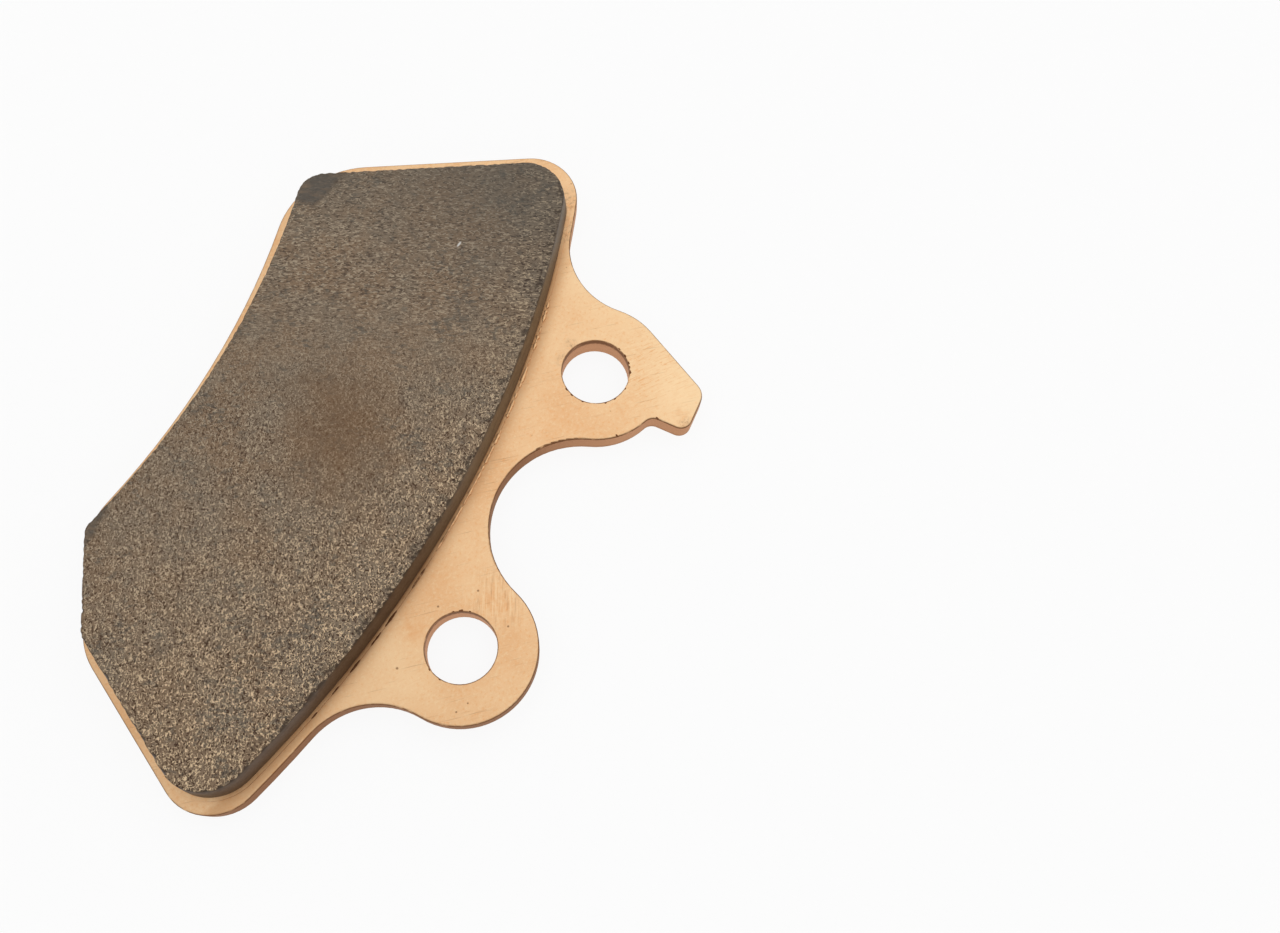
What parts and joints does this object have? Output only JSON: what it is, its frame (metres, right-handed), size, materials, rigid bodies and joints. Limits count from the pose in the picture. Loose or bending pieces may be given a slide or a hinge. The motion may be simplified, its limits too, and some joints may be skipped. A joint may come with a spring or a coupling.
{
  "type": "brake pad",
  "caption": "Disc-brake pad: a curved sintered friction block on a copper-plated steel plate with round pin lugs, a half-round notch between them and a hooked retaining tab.",
  "frame": {"origin": "midway between the pin holes, on the back face of the plate", "axes": "+X along the line of the pin holes towards the lug with the tab, +Y towards the disc's axle, +Z out of the friction face towards the disc"},
  "size_m": [0.0962, 0.0625, 0.0076],
  "materials": {
    "copper_plated_steel": "thin copper plating on blanked steel, satin",
    "sintered_metal": "sintered metal with fine open grain, matt"
  },
  "bodies": {
    "root": {"backing_plate": "copper_plated_steel", "friction_block": "sintered_metal"}
  },
  "joints": []
}
